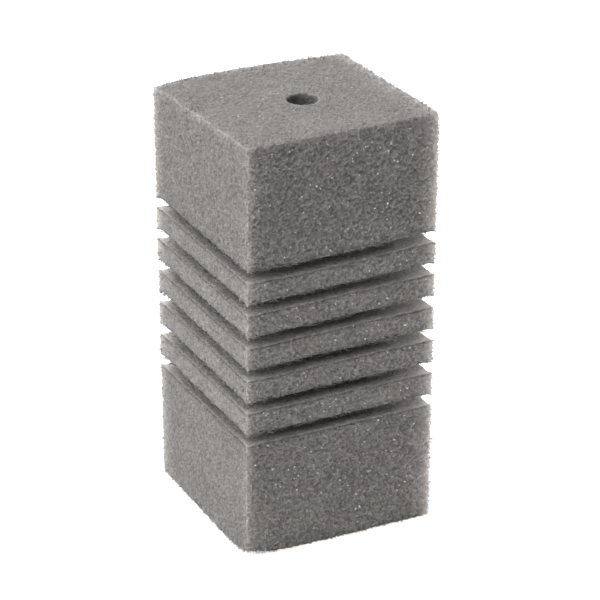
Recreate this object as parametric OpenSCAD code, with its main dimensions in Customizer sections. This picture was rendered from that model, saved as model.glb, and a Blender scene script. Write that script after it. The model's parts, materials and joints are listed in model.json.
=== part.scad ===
// Sponge filter cartridge: one block of open-cell foam, square in plan, that stands upright.
// Narrow slots are sawn in from all four sides, so that flat fins are left round a square
// core. A blind bore runs down the core from the top and takes the suction tube.
// The block is divided at its slots into lengths that lie face to face, because it
// squeezes and bends at the slots: the full-width lengths keep their shape, and the short
// necks of core inside the slots give. Slots, necks and fins are numbered from the bottom.

/* [Block] */
// Side of the square block
side = 100; // [70:1:150]
// Radius of the four upright edges
edge_r = 2; // [1:0.5:6]
// Height of the solid foam below the slots
bottom_h = 60; // [40:1:100]
// Height of the solid foam above the slots
top_h = 60; // [20:1:100]

/* [Slots] */
// Number of slots
slots = 6; // [2:1:8]
// Height of one slot
slot_h = 5; // [3:0.5:8]
// Height of one fin between two slots
fin_h = 12; // [8:0.5:20]
// Side of the square core that the slots leave
core = 50; // [30:1:60]

/* [Bore] */
// Diameter of the bore
bore_d = 16; // [10:0.5:22]
// Height of the closed foam under the bore
bore_floor = 25; // [10:1:35]

/* [Colour] */
// Colour of the foam
foam_colour = "gray"; // [gray, dimgray, darkslategray, black, royalblue]

/* [Hidden] */
$fn = 96;
// How far a cut runs past the foam
past = 1;
// Distance from one slot to the next
pitch = slot_h + fin_h;
// Height of the whole block
height = bottom_h + slots * slot_h + (slots - 1) * fin_h + top_h;

// Height of the lower face of slot i
function slot_z(i) = bottom_h + (i - 1) * pitch;

// Square with round corners
module rounded_square(width, r) {
    square([width, width - 2 * r], center = true);
    square([width - 2 * r, width], center = true);
    for (x = [-1, 1], y = [-1, 1])
        translate([x * (width / 2 - r), y * (width / 2 - r)]) circle(r);
}

// The bore, as the tool that cuts it
module bore() {
    translate([0, 0, bore_floor])
        cylinder(d = bore_d, h = height - bore_floor + past);
}

// Full-width length of the block, h high and standing at z
module block_length(z, h) {
    color(foam_colour)
    difference() {
        translate([0, 0, z]) linear_extrude(h) rounded_square(side, edge_r);
        bore();
    }
}

// Closed foot of the block, up to the lowest slot
module bottom_block() {
    block_length(0, bottom_h);
}

// Fin between slot i and slot i + 1
module fin(i) {
    block_length(slot_z(i) + slot_h, fin_h);
}

// Head of the block, above the highest slot, with the bore's mouth
module top_block() {
    block_length(height - top_h, top_h);
}

// Neck of core inside slot i
module neck(i) {
    color(foam_colour)
    difference() {
        translate([0, 0, slot_z(i)]) linear_extrude(slot_h) square(core, center = true);
        bore();
    }
}

bottom_block();
top_block();
for (i = [1 : slots])
    neck(i);
for (i = [1 : slots - 1])
    fin(i);
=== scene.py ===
"""The looks of a sponge filter cartridge: one block of grey open-cell foam with sawn slots.

Each length of the block is a dense mesh made from the frame's own boxes. It is bowed a little,
as cut foam is, and pitted with the same cells that its material shows.
"""

import json
import math

import bpy
import numpy as np
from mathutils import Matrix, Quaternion, Vector


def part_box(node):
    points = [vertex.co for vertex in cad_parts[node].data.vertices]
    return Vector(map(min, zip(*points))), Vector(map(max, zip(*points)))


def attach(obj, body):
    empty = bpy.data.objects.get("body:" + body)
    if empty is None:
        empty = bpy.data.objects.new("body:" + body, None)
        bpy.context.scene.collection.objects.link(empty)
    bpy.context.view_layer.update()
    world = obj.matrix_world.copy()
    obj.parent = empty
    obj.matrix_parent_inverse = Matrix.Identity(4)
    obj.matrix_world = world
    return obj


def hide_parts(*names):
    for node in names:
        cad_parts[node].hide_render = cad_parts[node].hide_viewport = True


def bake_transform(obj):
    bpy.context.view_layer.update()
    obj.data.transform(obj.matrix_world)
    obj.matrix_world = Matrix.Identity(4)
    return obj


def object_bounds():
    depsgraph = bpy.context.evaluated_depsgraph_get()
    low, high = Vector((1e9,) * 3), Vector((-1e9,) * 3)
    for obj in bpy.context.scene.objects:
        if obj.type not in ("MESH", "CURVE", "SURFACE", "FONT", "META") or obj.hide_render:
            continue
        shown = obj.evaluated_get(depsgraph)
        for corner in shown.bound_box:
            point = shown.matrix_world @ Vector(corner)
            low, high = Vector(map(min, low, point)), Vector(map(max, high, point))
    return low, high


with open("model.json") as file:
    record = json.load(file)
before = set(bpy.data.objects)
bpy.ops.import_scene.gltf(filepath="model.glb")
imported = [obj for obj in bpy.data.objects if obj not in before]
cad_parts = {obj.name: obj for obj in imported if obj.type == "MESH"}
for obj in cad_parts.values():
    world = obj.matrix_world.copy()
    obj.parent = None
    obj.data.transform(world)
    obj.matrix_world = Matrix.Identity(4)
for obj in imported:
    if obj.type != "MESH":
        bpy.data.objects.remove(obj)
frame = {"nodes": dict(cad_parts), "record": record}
cad_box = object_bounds()

# Lengths are in metres, unless a comment says mm. Faces are named by the way they look.
MM = 0.001

# ---------------------------------------------------------------- sizes from the frame
mounts = {m["name"]: m for m in frame["record"]["mounts"]}
BORE_R = mounts["tube_bore"]["dims"]["r_mm"] * MM
BORE_FLOOR = mounts["tube_bore"]["pos_m"][2] - mounts["tube_bore"]["dims"]["length_mm"] * MM
HALF_SIDE = cad_box[1].x
HEIGHT = cad_box[1].z
CENTRE = (cad_box[0] + cad_box[1]) / 2

# ---------------------------------------------------------------- the meshes
GRAIN = 0.75 * MM            # distance between mesh points on the foam's skin
NECK_GRAIN = 1.0 * MM        # the same on the necks, deep in the slots
BORE_COARSE = 2              # how much coarser the mesh is down the bore
EDGE_ROUND = np.array((1.2, 1.2, 1.0)) * MM   # round of the cut edges, along each axis
NECK_ROUND = np.array((0.5, 0.5, 0.5)) * MM   # the same on the necks
NECK_HOLD = 2.0 * MM         # how far a neck runs into the foam above and below it
NECK_BORE_GAP = 0.6 * MM     # how far a neck's bore stands back from the plates' bore
HOLE_PATCH = 1.6             # half side of the square round a bore's hole, in the bore's radii
SHARP_RIM = 1.2              # radii of the bore within which nothing is rounded
BORE_SIDE = 1.01             # radii of the bore within which a point is on its wall
ON_FACE = 0.01 * MM          # depth within which a point is on a face
NO_WAY = 1e-6                # length under which a way out of the box has no direction
UV_GAP = 3.0 * MM            # space between two islands of the bake layout
UV_ROW = 0.31                # width of a row of islands
BORE_SHARE = 0.5             # scale of the bore's island beside the others

# ---------------------------------------------------------------- the block's own shape
# How far each corner lies from its ideal place, in mm: the corner's signs, then its shift
CORNER_SHIFT = {
    (-1, 1, 1): (-1.2, 0.2, -0.9),
    (-1, -1, 1): (1.1, -0.4, 0.0),
    (1, -1, 1): (0.1, 0.7, 1.1),
    (1, 1, 1): (0.2, 0.0, 0.0),
    (-1, 1, -1): (1.5, 0.3, 0.0),
    (-1, -1, -1): (-0.6, -0.7, 0.0),
    (1, -1, -1): (-1.0, 0.0, 0.0),
}
# Soft swells and dips, in mm: centre, shift, and reach in plan and in height
SWELLS = [
    ((-50, 50, 210), (0.0, 0.0, -1.4), (9, 25)),
    ((0, 50, 210), (0.0, 0.5, 1.0), (28, 30)),
    ((-50, 50, 128), (0.0, 0.0, 1.6), (26, 40)),
    ((50, -50, 145), (0.0, 0.0, 1.5), (28, 40)),
    ((-50, -50, 108), (0.0, 0.0, -0.9), (20, 34)),
    ((0, -50, 0), (0.0, -1.1, 0.0), (30, 30)),
    ((-50, -50, 0), (0.9, 0.9, 2.2), (7, 8)),
    ((-10, -50, 147.5), (0.0, 0.0, -1.7), (50, 7)),
]
# The bore was drilled a little off the middle: the outline moves one way and the bore the other
OUTLINE_SHIFT = Vector((-1.9, 1.4, 0.0)) * MM
BORE_SHIFT = Vector((0.8, -0.6, 0.0)) * MM
BORE_REACH = 22 * MM         # how far round the bore its own shift fades out
GROWN = 0.6 * MM             # how far the slack foam bulges past its nominal sides
WAVE = 0.15 * MM             # height of the saw's wander along the slots
WAVE_LENGTHS = (37 * MM, 23 * MM, 61 * MM)   # its lengths along each axis

# ---------------------------------------------------------------- the cut skin
# Parts of noise that are drawn out to its full range: nearly all of it, and less
NOISE_WIDE, NOISE_MIDDLE = (0.25, 0.75), (0.3, 0.7)
CELL = 1.35 * MM             # mean distance between the tips of broken struts
TIP_SLOPE = (0.05, 0.75)     # where a tip starts to fall and where it is gone, in CELLs from it
PIT = 1.30 * MM              # depth of a cell that the cut has opened
LUMP = 0.15 * MM             # height of the soft lumps in the cut faces
LUMP_SIZE = 7.0 * MM         # their size
LUMP_DETAIL = 3.0            # how much finer lumps lie on them
FUZZ = 0.15 * MM             # how far torn struts stand up or lie down
EDGE_FUZZ = 0.5 * MM         # the same along the block's own edges, where they fray
# A point's share of the fuzz, from its chance between 0 and 1: chance ** power * rise - drop
SPIKE_POWER, SPIKE_RISE, SPIKE_DROP = 4.0, 2.2, 0.55
FRAY_REACH = 1.6 * MM        # how far in from an edge the fraying goes
CALM_EDGES = (("-y", "+z"), ("-x", "+z"), ("-x", "-y"))   # the edges that the saw left cleaner
CALM = 0.35                  # share of the fraying on them
CALM_REACH = 2 * FRAY_REACH      # how far in from these edges that goes
# Share of the pits, lumps and fuzz on each face, and of the painted glints
FACE_RELIEF = {"-x": 0.92, "-y": 1.4, "+x": 0.92, "+y": 0.92, "-z": 1.0, "+z": 0.55}
SLOT_RELIEF = 0.10           # the same inside the narrow slots
RIM_RELIEF, RIM_REACH = 0.3, 5 * MM   # the same at the bore's rim, and how far round it that goes
EDGE_CALM = 0.4              # share of them that is lost at the block's own edges
EDGE_CALM_REACH = 2 * FRAY_REACH     # how far in from those that goes

# ---------------------------------------------------------------- the torn lips of the slots
RAGGED = (0.40 * MM, 1.50 * MM)   # least and most that the saw has torn off the slots' lips
RAGGED_SIZE = 1.6 * MM       # distance between the torn spots
RAGGED_REACH = 1.1 * MM      # how far in from a lip they go
RAGGED_CORNER = 2.0 * MM     # how near the slots' corners they begin
UPPER_SHARE = 0.5            # share of the tearing on the lips that face up
TORN_SHADE = 0.75                  # how much darker the torn spots are painted, as shade from the slot
TORN_SHADE_SIZE = RAGGED_SIZE * 0.7    # distance between the painted dark bites of shade in them
TORN_SHADE_SPAN = (0.42, 0.60)     # part of the noise over which such a bite of shade sets in

# ---------------------------------------------------------------- loose struts
STUBBLE = 0.80               # share of the mesh points at an edge that have a loose strut
LIP_STUBBLE = 0.30           # the same on the hanging lips of the slots
STRUT_THICK = 0.19 * MM      # half the thickness of a loose strut at its root
STRUT_TIP = 0.6              # share of that at its tip
STRUT_ROOT = 0.6 * MM        # how deep its root is
STRUT_LOOSE = (0.4 * MM, 2.4 * MM)   # least and most that it stands out
STRUT_SHORT = 1.2            # above 1, more of them are short than long
STRUT_TILT = 0.5             # how far it leans from the way out of the skin
LEVEL_LEAST = 0.4            # at the slots struts lie level: least level part of a root's way out
STRUT_CELL = 5 * STRUT_THICK     # side of a strut's own square in the bake layout
# The places of a strut's six points in that square, and its five faces
STRUT_SPOTS = np.array([(0.1, 0.1), (0.9, 0.1), (0.5, 0.9), (0.4, 0.25), (0.6, 0.25), (0.5, 0.45)])
STRUT_FACES = ((0, 1, 4, 3), (1, 2, 5, 4), (2, 0, 3, 5), (3, 4, 5, 5), (0, 2, 1, 1))

# ---------------------------------------------------------------- painted light and shade
# Painted light: the foam's colour is made paler where light soaks through its edges. For each
# face, and the face at each of its edges: how much painted light there is, and how far in that
# reaches, in mm
PAINTED_EDGE_LIGHT = {
    "-x": {"-y": (0.45, 3.0), "+y": (2.10, 3.2), "+z": (0.72, 1.9), "-z": (0.80, 1.5)},
    "-y": {"-x": (1.35, 2.5), "+x": (3.20, 2.9), "+z": (0.40, 1.8), "-z": (0.50, 36.0)},
    "+x": {"-y": (0.60, 3.0), "+y": (0.35, 3.0), "+z": (0.45, 1.8), "-z": (0.40, 3.0)},
    "+y": {"-x": (0.60, 3.0), "+x": (0.35, 3.0), "+z": (0.45, 1.8), "-z": (0.40, 3.0)},
    "+z": {"-x": (0.55, 1.9), "-y": (0.10, 1.8), "+x": (1.40, 3.0), "+y": (1.50, 2.1)},
}
# Painted light all over each face; below 0 it is painted shade, as on the top
PAINTED_FACE_LIGHT = {"-x": 0.0, "-y": 0.0, "+x": 0.0, "+y": 0.0, "+z": -0.015}
FIN_PAINTED_LIGHT = 0.15              # painted light all over the sides of the thin fins
SLOT_PAINTED_LIGHT = 0.05             # painted light deep in the slots
# Painted light at the slots' corners, most at the two where light comes right through
SLOT_CORNER_LIGHT = {("-x", "-y"): 0.6, ("+x", "-y"): 2.6, ("-x", "+y"): 2.2, ("+x", "+y"): 1.0}
CORNER_REACH = 7.0 * MM      # how far from a slot's corner that goes
# Painted light inside the slots at their lips, and how far in that reaches, in mm
LIP_PAINTED_LIGHT = {"-x": (0.45, 2.6), "-y": (0.70, 4.6), "+x": (0.4, 3.0), "+y": (0.4, 3.0)}
LIP_SPILL = 0.10             # share of a lip's painted light on the face under it
LIP_SHADE, LIP_SHADE_REACH = 0.22, 1.2 * MM   # how much darker the lips that face up are
BORE_RIM_LIGHT = (0.45, 1.5 * MM)      # painted light on the bore's wall at its rim, and how far down
BORE_DEEP_SHADE = (-0.35, 5.0 * MM)    # painted shade deep in the bore, and how far down it takes
NOT_OUTSIDE = -1.0           # stands for the painted light of points that are on no outer face


def bow(points):
    """Moves points of the ideal block to where the cut, slightly slack foam has them."""
    unit = points / (HALF_SIDE, HALF_SIDE, HEIGHT / 2) - (0, 0, 1)
    shift = np.zeros_like(points)
    for signs, mm in CORNER_SHIFT.items():
        weight = np.prod(1 + unit * signs, axis=1) / 8
        shift += weight[:, None] * np.array(mm) * MM
    for centre, mm, (plan, up) in SWELLS:
        away = (points - np.array(centre) * MM) / (plan * MM, plan * MM, up * MM)
        weight = np.exp(-0.5 * (away ** 2).sum(1))
        shift += weight[:, None] * np.array(mm) * MM
    radius = np.hypot(points[:, 0], points[:, 1])
    out = np.clip((radius - BORE_R) / BORE_REACH, 0, 1)[:, None]
    out = out * out * (3 - 2 * out)
    shift += out * OUTLINE_SHIFT + (1 - out) * BORE_SHIFT
    shift[:, :2] += out * GROWN * unit[:, :2]
    a, b, c = WAVE_LENGTHS
    wander = np.sin(2 * math.pi * (points[:, 0] / a + points[:, 2] / c))
    wander += np.sin(2 * math.pi * (points[:, 1] / b - points[:, 2] / c))
    inside = np.sin(math.pi * np.clip(points[:, 2] / HEIGHT, 0, 1))
    shift[:, 2] += WAVE * wander * inside * out[:, 0]
    return points + shift


# ---------------------------------------------------------------- mesh building
def loop_of(grid):
    """The values round the border of a square grid, anticlockwise seen from above."""
    return np.concatenate([grid[:-1, 0], grid[-1, :-1], grid[:0:-1, -1], grid[0, :0:-1]])


def closed(rings):
    """Rings of ids as rows, each with its first id again at its end."""
    return np.array([np.append(ring, ring[0]) for ring in rings])


class Skin:
    """A closed mesh as it grows: points, four-cornered faces and the bake layout of each."""

    def __init__(self):
        self.points, self.count = [], 0
        self.faces, self.layout = [], []
        self.pen_x = self.pen_y = self.row_height = 0.0

    def add(self, points):
        """Adds points and returns their ids."""
        points = np.asarray(points, float).reshape(-1, 3)
        self.points.append(points)
        self.count += len(points)
        return np.arange(self.count - len(points), self.count)

    def all_points(self):
        """The points so far, in the order of their ids."""
        return np.concatenate(self.points)

    def island(self, width, height):
        """The lower left corner of the next free rectangle in the bake layout."""
        if self.pen_x + width > UV_ROW:
            self.pen_x, self.row_height, self.pen_y = (
                0.0, 0.0, self.pen_y + self.row_height + UV_GAP)
        corner = self.pen_x, self.pen_y
        self.pen_x += width + UV_GAP
        self.row_height = max(self.row_height, height)
        return corner

    def quads(self, ids, u, v, corner, flip=False, keep=None):
        """Faces between neighbours in a 2-D array of ids, with u and v as their layout."""
        def cut(a):
            return np.stack([a[:-1, :-1], a[1:, :-1], a[1:, 1:], a[:-1, 1:]], -1)
        faces, us, vs = cut(ids), cut(u), cut(v)
        if keep is None:
            keep = np.ones(faces.shape[:2], bool)
        faces, us, vs = faces[keep], us[keep], vs[keep]
        if flip:
            faces, us, vs = faces[:, ::-1], us[:, ::-1], vs[:, ::-1]
        self.faces.append(faces)
        self.layout.append(np.stack([corner[0] + us, corner[1] + vs], -1))


def flat_face(skin, outline, xy, z, up, bore_r):
    """A flat face of the block inside the ring of ids `outline`, with the bore's hole in it
    if bore_r isn't 0. Returns the ids round the hole, or None."""
    n = len(xy) - 1
    step = xy[1] - xy[0]
    ids = np.full((n + 1, n + 1), -1)
    inner = np.zeros((n + 1, n + 1), bool)
    inner[1:-1, 1:-1] = True
    keep = np.ones((n, n), bool)
    if bore_r:
        first = int(n / 2 - math.ceil(bore_r * HOLE_PATCH / step))
        last = n - first
        inner[first + 1:last, first + 1:last] = False
        keep[first:last, first:last] = False
    gx, gy = np.meshgrid(xy, xy, indexing="ij")
    ids[inner] = skin.add(np.stack([gx[inner], gy[inner], np.full(inner.sum(), z)], 1))
    rows, columns = np.meshgrid(np.arange(n + 1), np.arange(n + 1), indexing="ij")
    ids[loop_of(rows), loop_of(columns)] = outline
    corner = skin.island(xy[-1] - xy[0], xy[-1] - xy[0])
    skin.quads(ids, gx - xy[0], gy - xy[0], corner, flip=not up, keep=keep)
    if not bore_r:
        return None
    hole = loop_of(ids[first:last + 1, first:last + 1])
    start = skin.all_points()[hole]
    angle = np.arctan2(start[:, 1], start[:, 0])
    rim = np.stack([bore_r * np.cos(angle), bore_r * np.sin(angle), start[:, 2]], 1)
    steps = max(2, round(np.linalg.norm(start - rim, axis=1).mean() / step))
    rings = [hole] + [skin.add(start + (rim - start) * k / steps) for k in range(1, steps + 1)]
    ids = closed(rings).T
    at = skin.all_points()[ids]
    skin.quads(ids, at[..., 0] - xy[0], at[..., 1] - xy[0], corner, flip=not up)
    return rings[-1]


def bore_wall(skin, top, bottom, z_top, z_low, bore_r, grain):
    """The wall of the bore from the ring `top` down to `bottom`, or to a floor of its own."""
    start = skin.all_points()[top]
    rows = max(2, round((z_top - z_low) / (BORE_COARSE * grain)))
    rings = [top]
    for k in range(1, rows if bottom is not None else rows + 1):
        ring = start.copy()
        ring[:, 2] = z_top + (z_low - z_top) * k / rows
        rings.append(skin.add(ring))
    if bottom is not None:
        rings.append(bottom)
    ids = closed(rings).T
    around = np.linspace(0, 2 * math.pi * bore_r, ids.shape[0]) * BORE_SHARE
    down = np.linspace(0, z_top - z_low, ids.shape[1]) * BORE_SHARE
    u, v = np.meshgrid(around, down, indexing="ij")
    skin.quads(ids, u, v, skin.island(around[-1], down[-1]))
    if bottom is None:
        bore_end(skin, rings[-1], bore_r, grain)


def bore_end(skin, rim, bore_r, grain):
    """The floor of a blind bore, inside the ring `rim`."""
    edge = skin.all_points()[rim]
    middle = edge.mean(0)
    steps = round(bore_r / (BORE_COARSE * grain))
    rings = [rim] + [skin.add(edge + (middle - edge) * k / steps) for k in range(1, steps)]
    rings.append(np.full(len(rim), skin.add([middle])[0]))
    ids = closed(rings).T
    at = skin.all_points()[ids]
    corner = skin.island(2 * bore_r, 2 * bore_r)
    skin.quads(ids, at[..., 0] + bore_r, at[..., 1] + bore_r, corner)


def foam_length(low, high, grain, bore_r, bore_from=None):
    """A length of the block between two corners. The bore runs from its upper face down to
    bore_from, or right through it."""
    skin = Skin()
    half = (high[0] - low[0]) / 2
    n = 2 * round(half / grain)
    xy = np.linspace(-half, half, n + 1)
    gx, gy = np.meshgrid(xy, xy, indexing="ij")
    square = np.stack([loop_of(gx), loop_of(gy)], 1)
    heights = np.linspace(low[2], high[2], max(3, round((high[2] - low[2]) / grain)) + 1)
    rings = [skin.add(np.column_stack([square, np.full(len(square), z)])) for z in heights]
    ids = closed(rings).T
    u, v = np.meshgrid(xy - xy[0], heights - low[2], indexing="ij")
    for side in range(4):
        corner = skin.island(2 * half, high[2] - low[2])
        skin.quads(ids[side * n:(side + 1) * n + 1], u, v, corner)
    top = flat_face(skin, rings[-1], xy, high[2], True, bore_r)
    through = bore_from is None
    bottom = flat_face(skin, rings[0], xy, low[2], False, bore_r if through else 0.0)
    bore_wall(skin, top, bottom, high[2], low[2] if through else bore_from, bore_r, grain)
    return skin


def rounded(points, low, high, r):
    """Points of a box's surface moved onto the same box with round edges, and their way out."""
    core = np.clip(points, np.array(low) + r, np.array(high) - r)
    out = (points - core) / r
    size = np.linalg.norm(out, axis=1)
    in_bore = np.hypot(points[:, 0], points[:, 1]) < SHARP_RIM * BORE_R
    hit = (size > NO_WAY) & ~in_bore
    way = np.zeros_like(points)
    way[hit] = out[hit] / size[hit, None]
    return np.where(hit[:, None], core + way * r, points), way


def stubble(name, skin, low, ideal, placed, way):
    """Loose struts round the block's own edges and on the slots' hanging lips, as thin tapered
    rods. Returns their points' place in the ideal block and their real place."""
    rng = np.random.default_rng([ord(letter) for letter in name])
    at_end = np.minimum(ideal[:, 2], HEIGHT - ideal[:, 2]) < STRUT_LOOSE[1]
    level = np.where(at_end[:, None], 1.0, (1.0, 1.0, 0.0))
    share = STUBBLE * edge_share(ideal)
    if low[2] > 0:
        share += LIP_STUBBLE * np.exp(-(ideal[:, 2] - low[2]) / RAGGED_REACH)
    share *= np.linalg.norm(way * level, axis=1) > LEVEL_LEAST
    roots = np.flatnonzero(rng.random(len(ideal)) < share)
    count = len(roots)
    lean = rng.normal(size=(count, 3)) * STRUT_TILT
    out = (way[roots] + lean) * level[roots]
    out /= np.linalg.norm(out, axis=1)[:, None]
    side = np.cross(out, rng.normal(size=(count, 3)))
    side /= np.linalg.norm(side, axis=1)[:, None]
    third = np.cross(out, side)
    least, most = STRUT_LOOSE
    length = least + (most - least) * rng.random(count)[:, None] ** STRUT_SHORT
    corners = []
    for middle, thick in ((placed[roots] - out * STRUT_ROOT, STRUT_THICK),
                          (placed[roots] + out * length, STRUT_THICK * STRUT_TIP)):
        for turn in (0, 2 * math.pi / 3, 4 * math.pi / 3):
            corners.append(middle + thick * (side * math.cos(turn) + third * math.sin(turn)))
    real = np.stack(corners, 1).reshape(-1, 3)
    rest = np.repeat(ideal[roots], 6, axis=0)
    ids = skin.add(rest).reshape(-1, 6)
    columns = int(2 * HALF_SIDE / STRUT_CELL)
    corner = skin.island(columns * STRUT_CELL, (count // columns + 1) * STRUT_CELL)
    column, row = np.arange(count) % columns, np.arange(count) // columns
    pen = np.stack([column, row], 1) * STRUT_CELL + corner
    spots = STRUT_SPOTS * STRUT_CELL
    for face in STRUT_FACES:
        skin.faces.append(ids[:, face])
        skin.layout.append(pen[:, None] + spots[list(face)])
    return rest, real


def depths(points):
    """How far each point lies under each face of the block."""
    x, y, z = points.T
    return {"-x": HALF_SIDE + x, "+x": HALF_SIDE - x, "-y": HALF_SIDE + y, "+y": HALF_SIDE - y,
            "-z": z, "+z": HEIGHT - z}


def painted_light_and_shade(points, base, top):
    """How much painted light each point gets, for light that soaks through edges and into the
    slots;
    below 0 it is painted shade, as deep in the bore and on the lips that face up. The points'
    own length of the block goes from the height `base` to `top`."""
    depth = depths(points)
    painted_lighting = np.full(len(points), SLOT_PAINTED_LIGHT)
    for (one, other), much in SLOT_CORNER_LIGHT.items():
        painted_lighting += much * np.exp(-np.hypot(depth[one], depth[other]) / CORNER_REACH)
    for face, (much, reach) in LIP_PAINTED_LIGHT.items():
        painted_lighting += much * np.exp(-depth[face] / (reach * MM))
    drop = top - points[:, 2]
    in_bore = np.hypot(points[:, 0], points[:, 1]) < BORE_SIDE * BORE_R
    rim = BORE_RIM_LIGHT[0] * np.exp(-depth["+z"] / BORE_RIM_LIGHT[1])
    deep = BORE_DEEP_SHADE[0] * (1 - np.exp(-depth["+z"] / BORE_DEEP_SHADE[1]))
    painted_lighting = np.where(in_bore, rim + deep, painted_lighting)
    outside = np.full(len(points), NOT_OUTSIDE)
    for face, edges in PAINTED_EDGE_LIGHT.items():
        here = PAINTED_FACE_LIGHT[face] + sum(much * np.exp(-depth[other] / (reach * MM))
                                     for other, (much, reach) in edges.items())
        if face in LIP_PAINTED_LIGHT and top < HEIGHT:
            much, reach = LIP_PAINTED_LIGHT[face]
            here += LIP_SPILL * much * np.exp(-drop / (reach * MM)) + FIN_PAINTED_LIGHT * (base > 0)
        outside = np.where(depth[face] < ON_FACE, np.maximum(outside, here), outside)
    painted_lighting = np.where((outside > NOT_OUTSIDE) & ~in_bore, outside, painted_lighting)
    if top < HEIGHT:
        side = np.min([depth[face] for face in LIP_PAINTED_LIGHT], axis=0)
        painted_lighting -= LIP_SHADE * np.exp(-(drop + side) / LIP_SHADE_REACH)
    return painted_lighting


def from_edge(depth):
    """How far points lie from the nearest of the block's own edges, from their depths."""
    return np.sort(np.stack(list(depth.values())), axis=0)[1]


def edge_share(points):
    """1 at the block's own edges and 0 inside its faces."""
    depth = depths(points)
    calm = np.zeros(len(points), bool)
    for one, other in CALM_EDGES:
        calm |= np.maximum(depth[one], depth[other]) < CALM_REACH
    return np.exp(-from_edge(depth) / FRAY_REACH) * np.where(calm, CALM, 1.0)


def relief(points):
    """How far the skin may move at each point, and how much painted glint it may get: freely
    outside, less inside the slots.
    """
    depth = depths(points)
    free = np.full(len(points), SLOT_RELIEF)
    for face, share in FACE_RELIEF.items():
        free = np.where(depth[face] < ON_FACE, share, free)
    free = free * (1 - EDGE_CALM * np.exp(-from_edge(depth) / EDGE_CALM_REACH))
    from_rim = np.hypot(points[:, 0], points[:, 1]) - BORE_R
    return np.minimum(free, RIM_RELIEF + (1 - RIM_RELIEF) * np.maximum(from_rim, 0) / RIM_REACH)


def lip_share(points, low, high):
    """1 on the lips of the slots, less towards their corners, and 0 away from them."""
    depth = depths(points)
    sides = np.sort(np.stack([depth[face] for face in LIP_PAINTED_LIGHT]), axis=0)
    z = points[:, 2]
    share = np.zeros(len(points))
    if low[2] > 0:
        share = np.exp(-(z - low[2]) / RAGGED_REACH)
    if high[2] < HEIGHT:
        share = np.maximum(share, UPPER_SHARE * np.exp(-(high[2] - z) / RAGGED_REACH))
    return share * np.exp(-sides[0] / RAGGED_REACH) * (1 - np.exp(-sides[1] / RAGGED_CORNER))


def make_mesh(name, skin, low, high, r):
    """An object from a skin, with its bake layout and the attributes its material reads."""
    ideal = skin.all_points()
    placed, way = rounded(ideal, low, high, r)
    loose, loose_placed = stubble(name, skin, low, ideal, placed, way)
    free = np.concatenate([relief(ideal), np.zeros(len(loose))])
    ideal, placed = np.concatenate([ideal, loose]), np.concatenate([placed, loose_placed])
    faces = np.concatenate(skin.faces)
    uv = np.concatenate(skin.layout)
    real = np.ones(faces.shape, bool)
    real[faces[:, 2] == faces[:, 3], 3] = False    # triangles, which repeat their last corner
    sizes = real.sum(1)
    shape = bow(placed)
    mesh = bpy.data.meshes.new(name)
    mesh.vertices.add(len(shape))
    mesh.vertices.foreach_set("co", shape.astype(np.float32).ravel())
    mesh.loops.add(int(sizes.sum()))
    mesh.loops.foreach_set("vertex_index", faces[real].astype(np.int32))
    mesh.polygons.add(len(faces))
    mesh.polygons.foreach_set("loop_start", (np.cumsum(sizes) - sizes).astype(np.int32))
    mesh.update(calc_edges=True)
    mesh.polygons.foreach_set("use_smooth", np.ones(len(faces), bool))
    layer = mesh.uv_layers.new(name="OFBake")
    place = (uv[real] + UV_GAP / 2) / (uv.max() + UV_GAP)
    layer.data.foreach_set("uv", place.astype(np.float32).ravel())
    rest = mesh.attributes.new("foam_at", "FLOAT_VECTOR", "POINT")
    rest.data.foreach_set("vector", ideal.astype(np.float32).ravel())
    torn = lip_share(ideal, low, high)
    torn[len(ideal) - len(loose):] = 0
    # painted light and shade, and the masks for the relief, the painted glints and the torn lips
    shares = {"foam_pale": painted_light_and_shade(ideal, low[2], high[2]), "foam_edge": edge_share(ideal),
              "foam_relief": free, "foam_torn": torn}
    for label, values in shares.items():
        layer = mesh.attributes.new(label, "FLOAT", "POINT")
        layer.data.foreach_set("value", values.astype(np.float32))
    piece = bpy.data.objects.new(name, mesh)
    bpy.context.scene.collection.objects.link(piece)
    return piece


# ---------------------------------------------------------------- nodes
def node(tree, kind, inputs=None, **settings):
    """A new node. Each of its inputs is given by name, as a value or as a socket to link."""
    made = tree.nodes.new(kind)
    for key, value in settings.items():
        setattr(made, key, value)
    for key, value in (inputs or {}).items():
        if isinstance(value, bpy.types.NodeSocket):
            tree.links.new(value, made.inputs[key])
        else:
            made.inputs[key].default_value = value
    return made


def scaled(tree, value, low, high, to_low, to_high):
    """A value taken from one range to another, and held inside it."""
    return node(tree, "ShaderNodeMapRange", {
        "Value": value, "From Min": low, "From Max": high, "To Min": to_low, "To Max": to_high,
    }).outputs["Result"]


def maths(tree, operation, a, b):
    """The result of an operation on two values or sockets."""
    return node(tree, "ShaderNodeMath", {0: a, 1: b}, operation=operation).outputs[0]


def tips(tree, at, width):
    """1 on the tips of broken struts, a width apart, and 0 in the cells between them."""
    cells = node(tree, "ShaderNodeTexVoronoi", {"Vector": at, "Scale": 1 / width}, feature="F1")
    return scaled(tree, cells.outputs["Distance"], *TIP_SLOPE, 1.0, 0.0)


def cloud(tree, at, size, span, values, detail=2.0):
    """Soft noise with spots of a size. The given span of it goes from one value to the other."""
    made = node(tree, "ShaderNodeTexNoise", {"Vector": at, "Scale": 1 / size, "Detail": detail})
    return scaled(tree, made.outputs["Fac"], *span, *values)


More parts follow.
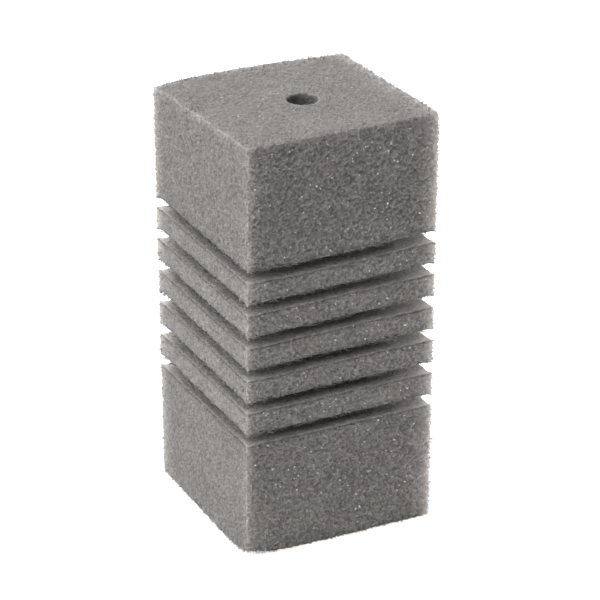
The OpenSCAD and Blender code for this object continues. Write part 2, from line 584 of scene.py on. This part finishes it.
def pitting():
    """Geometry nodes that open the foam's cells on the skin, lay soft lumps under them, fray the
    edges and tear the slots' lips back."""
    tree = bpy.data.node_groups.new("pitting", "GeometryNodeTree")
    tree.interface.new_socket("Geometry", in_out="INPUT", socket_type="NodeSocketGeometry")
    tree.interface.new_socket("Geometry", in_out="OUTPUT", socket_type="NodeSocketGeometry")
    start = node(tree, "NodeGroupInput")

    def attribute(name, kind):
        made = node(tree, "GeometryNodeInputNamedAttribute", {"Name": name}, data_type=kind)
        return made.outputs["Attribute"]

    at = attribute("foam_at", "FLOAT_VECTOR")
    pit = scaled(tree, tips(tree, at, CELL), 0.0, 1.0, -PIT / 2, PIT / 2)
    lump = cloud(tree, at, LUMP_SIZE, NOISE_WIDE, (-LUMP, LUMP), LUMP_DETAIL)
    chance = node(tree, "ShaderNodeTexWhiteNoise", {"Vector": at}).outputs["Value"]
    reach = scaled(tree, attribute("foam_edge", "FLOAT"), 0.0, 1.0, FUZZ, EDGE_FUZZ)
    spike = maths(tree, "MULTIPLY", maths(tree, "POWER", chance, SPIKE_POWER), SPIKE_RISE)
    fuzz = maths(tree, "MULTIPLY", maths(tree, "SUBTRACT", spike, SPIKE_DROP), reach)
    height = maths(tree, "ADD", maths(tree, "ADD", pit, lump), fuzz)
    height = maths(tree, "MULTIPLY", height, attribute("foam_relief", "FLOAT"))
    torn = cloud(tree, at, RAGGED_SIZE, NOISE_MIDDLE, RAGGED)
    torn = maths(tree, "MULTIPLY", torn, attribute("foam_torn", "FLOAT"))
    height = maths(tree, "SUBTRACT", height, torn)
    normal = node(tree, "GeometryNodeInputNormal").outputs["Normal"]
    move = node(tree, "ShaderNodeVectorMath", {0: normal, "Scale": height}, operation="SCALE")
    moved = node(tree, "GeometryNodeSetPosition", {
        "Geometry": start.outputs[0], "Offset": move.outputs["Vector"]})
    node(tree, "NodeGroupOutput", {0: moved.outputs["Geometry"]})
    return tree


def apply_nodes(piece, tree):
    """Bakes a geometry-nodes tree into the piece's mesh, and keeps the mesh off the floor."""
    piece.modifiers.new("pits", "NODES").node_group = tree
    graph = bpy.context.evaluated_depsgraph_get()
    done = bpy.data.meshes.new_from_object(
        piece.evaluated_get(graph), preserve_all_data_layers=True, depsgraph=graph)
    piece.modifiers.clear()
    piece.data = done
    place = np.empty(len(done.vertices) * 3, np.float32)
    done.vertices.foreach_get("co", place)
    place[2::3] = np.maximum(place[2::3], 0)
    done.vertices.foreach_set("co", place)
    done.update()


# ---------------------------------------------------------------- material
PORE = (0.165, 0.157, 0.151, 1)
STRUT = (0.480, 0.456, 0.436, 1)
# a painted highlight: near white colour for the few struts that glint, which are also glossier
PAINTED_GLINT = (0.95, 0.94, 0.92, 1)
# the most that painted light may lift the foam's colour to
PAINTED_LIGHT_MOST = (0.92, 0.90, 0.88)
# The grain runs from PORE at 0 to STRUT at 1. It is the sum of the struts' tips and of three
# layers of noise: the size of their spots, the part of the noise that counts, and what they add
TIP_LEVEL = 0.22             # what a tip adds; the sunk pits between tips stay darker, partly painted shade
FIBRES = (0.75 * MM, NOISE_WIDE, (-0.10, 0.38))
BLOTCHES = (2.2 * MM, NOISE_MIDDLE, (-0.15, 0.15))
DRIFT = (12 * MM, NOISE_MIDDLE, (-0.05, 0.05))
LEVEL_MEAN = 0.25            # what the grain comes to on average
PAINTED_LIGHT_SHARP = 0.4             # how much painted light the foam can take before its grain softens
GLINT_SIZE = 1.1 * MM        # distance between the spots that may get a painted glint
GLINT_RARE = 40.0            # the higher it is, the fewer of them do
GLINT_DOT = (0.20, 0.55)     # where a glint starts to fade and where it is gone, in GLINT_SIZEs
ROUGH, GLINT_ROUGH = 0.85, 0.35   # roughness of the foam and of its glints
SPECULAR = 0.3
BUMP = 1.0 * MM              # height of the step from PORE to STRUT in the shading


def foam_material():
    """Grey open-cell foam: pale struts and dark pores, the pores partly painted shade in the pits;
    painted light at the edges and in the slots, painted shade deep in the bore and on the lips;
    and a few painted glints on struts that are glossier too.
    """
    material = bpy.data.materials.new("foam")
    material.use_nodes = True
    tree = material.node_tree
    tree.nodes.clear()

    def attribute(name, output="Fac"):
        return node(tree, "ShaderNodeAttribute", attribute_name=name).outputs[output]

    at = attribute("foam_at", "Vector")
    # painted light and shade for each point
    painted_lighting = attribute("foam_pale")
    # The tips are paler and the pits between them darker: partly grain, partly painted shade
    tip = maths(tree, "MULTIPLY", tips(tree, at, CELL), TIP_LEVEL)
    fibres, blotches, drift = [cloud(tree, at, *layer) for layer in (FIBRES, BLOTCHES, DRIFT)]
    level = maths(tree, "ADD", maths(tree, "ADD", tip, fibres), maths(tree, "ADD", blotches, drift))
    above = maths(tree, "SUBTRACT", level, LEVEL_MEAN)
    # much painted light softens the grain
    softer = maths(tree, "MAXIMUM", maths(tree, "ADD", painted_lighting, 1.0 - PAINTED_LIGHT_SHARP), 1.0)
    grain = maths(tree, "ADD", maths(tree, "DIVIDE", above, softer), LEVEL_MEAN)
    tone = node(tree, "ShaderNodeMix", {"Factor": grain, "A": PORE, "B": STRUT}, data_type="RGBA")
    # painted shade of the slot in the torn spots of the lips
    torn_shade = cloud(tree, at, TORN_SHADE_SIZE, TORN_SHADE_SPAN, (0.0, TORN_SHADE))
    left = maths(tree, "SUBTRACT", 1.0, maths(tree, "MULTIPLY", torn_shade, attribute("foam_torn")))
    # painted light and shade lift or lower the colour, held under a near white
    painted_light_factor = maths(tree, "MULTIPLY", maths(tree, "ADD", painted_lighting, 1.0), left)
    lift = node(tree, "ShaderNodeVectorMath", {0: tone.outputs["Result"], "Scale": painted_light_factor},
                operation="SCALE")
    held = node(tree, "ShaderNodeVectorMath", {0: lift.outputs["Vector"], 1: PAINTED_LIGHT_MOST},
                operation="MINIMUM")
    spark = node(tree, "ShaderNodeTexVoronoi", {"Vector": at, "Scale": 1 / GLINT_SIZE},
                 feature="F1")
    picked = node(tree, "ShaderNodeSeparateColor", {"Color": spark.outputs["Color"]})
    chosen = maths(tree, "POWER", picked.outputs["Red"], GLINT_RARE)
    dot = scaled(tree, spark.outputs["Distance"], *GLINT_DOT, 1.0, 0.0)
    # painted highlight on the chosen spots, which also get a lower roughness
    glint_paint_and_gloss = maths(tree, "MULTIPLY", maths(tree, "MULTIPLY", chosen, dot), attribute("foam_relief"))
    colour = node(tree, "ShaderNodeMix", {
        "Factor": glint_paint_and_gloss, "A": held.outputs["Vector"], "B": PAINTED_GLINT}, data_type="RGBA")
    bump = node(tree, "ShaderNodeBump", {"Height": level, "Distance": BUMP, "Strength": 1.0})
    skin = node(tree, "ShaderNodeBsdfPrincipled", {
        "Base Color": colour.outputs["Result"],
        "Roughness": scaled(tree, glint_paint_and_gloss, 0.0, 1.0, ROUGH, GLINT_ROUGH),
        "Specular IOR Level": SPECULAR,
        "Normal": bump.outputs["Normal"],
    })
    node(tree, "ShaderNodeOutputMaterial", {"Surface": skin.outputs["BSDF"]})
    return material


# ---------------------------------------------------------------- the pieces
foam = foam_material()
pits = pitting()
node_body = {n: b for b, nodes in frame["record"]["behaviour"]["bodies"].items() for n in nodes}


def finish_piece(piece, name):
    """Cuts the cells into a piece, gives it the foam and lets it stand for its node."""
    apply_nodes(piece, pits)
    piece.data.materials.clear()
    piece.data.materials.append(foam)
    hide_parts(name)


def full_width(name):
    """The foot, a fin or the head, which ride on their own bodies."""
    low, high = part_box(name)
    skin = foam_length(low, high, GRAIN, BORE_R, BORE_FLOOR if low.z < BORE_FLOOR else None)
    piece = make_mesh("foam_" + name, skin, low, high, EDGE_ROUND)
    finish_piece(piece, name)
    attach(piece, node_body[name])


def neck(name):
    """The core inside a slot, which gives between the plates below and above it."""
    low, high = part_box(name)
    hold = Vector((0, 0, NECK_HOLD))
    skin = foam_length(low - hold, high + hold, NECK_GRAIN, BORE_R + NECK_BORE_GAP)
    piece = make_mesh("foam_" + name, skin, low - hold, high + hold, NECK_ROUND)
    finish_piece(piece, name)
    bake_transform(piece)


for name in sorted(frame["nodes"]):
    if name.startswith("neck_"):
        neck(name)
    else:
        full_width(name)


# ---------------------------------------------------------------- stage, light, camera
FLOOR_SIZE = 14.0
FLOOR_WHITE = (0.92, 0.92, 0.92, 1)
FLOOR_GLOW = 0.9             # what the floor gives of its own, to the camera
FLOOR_BOUNCE = 0.0           # the same to all else
SKY_SIDE = Vector((-0.6, 0.5, 0.62))   # the side the light comes from
SKY_FADE = (0.15, 0.6)       # cosines of the angles from it where the sky is dark and bright
SKY_DARK, SKY_BRIGHT = 0.0, 2.46
SKY_SEEN = 1.0               # least brightness that the camera sees
# Softboxes: place from the block's middle, size, and power in watts
SOFTBOXES = {
    "overhead": ((-0.5, 0.9, 2.2), 2.4, 12.5),
    "right": ((1.395, -0.255, 0.3), 0.25, 13.4),
    "behind": ((0.5, 1.3, 0.2), 1.0, 10),
}
CAMERA_TURN, CAMERA_RISE, CAMERA_ROLL = -26.57, 23.82, 0.32   # degrees
CAMERA_DISTANCE = 1.40
CAMERA_LENS, CAMERA_SENSOR = 171.6, 36.0   # mm
CAMERA_REACH = 50            # how far the camera sees
AIM_RIGHT, AIM_UP = 0.32 * MM, 0.92 * MM   # the view's middle, from the block's middle


def aim(thing, place, target):
    """Puts a light or a camera into the scene, turned to its target."""
    thing.location = place
    thing.rotation_mode = "QUATERNION"
    thing.rotation_quaternion = (Vector(target) - Vector(place)).to_track_quat("-Z", "Y")
    bpy.context.scene.collection.objects.link(thing)


def softbox(name, offset, size, power):
    """A square light that faces the block."""
    light = bpy.data.lights.new(name, "AREA")
    light.shape, light.size, light.energy = "SQUARE", size, power
    aim(bpy.data.objects.new(name, light), CENTRE + Vector(offset), CENTRE)


def floor():
    """A white floor that stays pure white to the camera, as on an overlit product table."""
    bpy.ops.mesh.primitive_plane_add(size=FLOOR_SIZE)
    plane = bpy.context.object
    plane.name = "floor"
    paint = bpy.data.materials.new("floor")
    paint.use_nodes = True
    tree = paint.node_tree
    tree.nodes.clear()
    seen = node(tree, "ShaderNodeLightPath").outputs["Is Camera Ray"]
    glow = node(tree, "ShaderNodeEmission", {
        "Color": FLOOR_WHITE, "Strength": scaled(tree, seen, 0.0, 1.0, FLOOR_BOUNCE, FLOOR_GLOW)})
    matt = node(tree, "ShaderNodeBsdfDiffuse", {"Color": FLOOR_WHITE})
    both = node(tree, "ShaderNodeAddShader", {0: matt.outputs[0], 1: glow.outputs[0]})
    node(tree, "ShaderNodeOutputMaterial", {"Surface": both.outputs[0]})
    plane.data.materials.append(paint)


def sky():
    """Soft light from one side and above. The camera sees white behind everything."""
    world = bpy.data.worlds.new("studio")
    bpy.context.scene.world = world
    world.use_nodes = True
    tree = world.node_tree
    tree.nodes.clear()
    way = node(tree, "ShaderNodeTexCoord").outputs["Generated"]
    side = node(tree, "ShaderNodeVectorMath", {0: way, 1: SKY_SIDE.normalized()},
                operation="DOT_PRODUCT").outputs["Value"]
    dark, bright = SKY_FADE
    ramp = node(tree, "ShaderNodeMapRange", {
        "Value": side, "From Min": dark, "From Max": bright,
        "To Min": SKY_DARK, "To Max": SKY_BRIGHT,
    }, interpolation_type="SMOOTHSTEP").outputs["Result"]
    seen = node(tree, "ShaderNodeLightPath").outputs["Is Camera Ray"]
    strength = maths(tree, "MAXIMUM", ramp, maths(tree, "MULTIPLY", seen, SKY_SEEN))
    back = node(tree, "ShaderNodeBackground", {"Strength": strength})
    node(tree, "ShaderNodeOutputWorld", {"Surface": back.outputs[0]})


def camera():
    """A long lens from the front left, above the block's middle."""
    turn, rise = math.radians(CAMERA_TURN), math.radians(CAMERA_RISE)
    back = Vector((math.sin(turn) * math.cos(rise), -math.cos(turn) * math.cos(rise),
                   math.sin(rise)))
    right = Vector((0, 0, 1)).cross(back).normalized()
    target = CENTRE + right * AIM_RIGHT + back.cross(right) * AIM_UP
    data = bpy.data.cameras.new("camera")
    data.lens, data.sensor_width = CAMERA_LENS, CAMERA_SENSOR
    data.clip_end = CAMERA_REACH
    thing = bpy.data.objects.new("camera", data)
    aim(thing, target + back * CAMERA_DISTANCE, target)
    thing.rotation_quaternion @= Quaternion((0, 0, 1), math.radians(CAMERA_ROLL))
    bpy.context.scene.camera = thing


floor()
sky()
for name, settings in SOFTBOXES.items():
    softbox(name, *settings)
camera()
bpy.context.scene.view_settings.view_transform = "Standard"
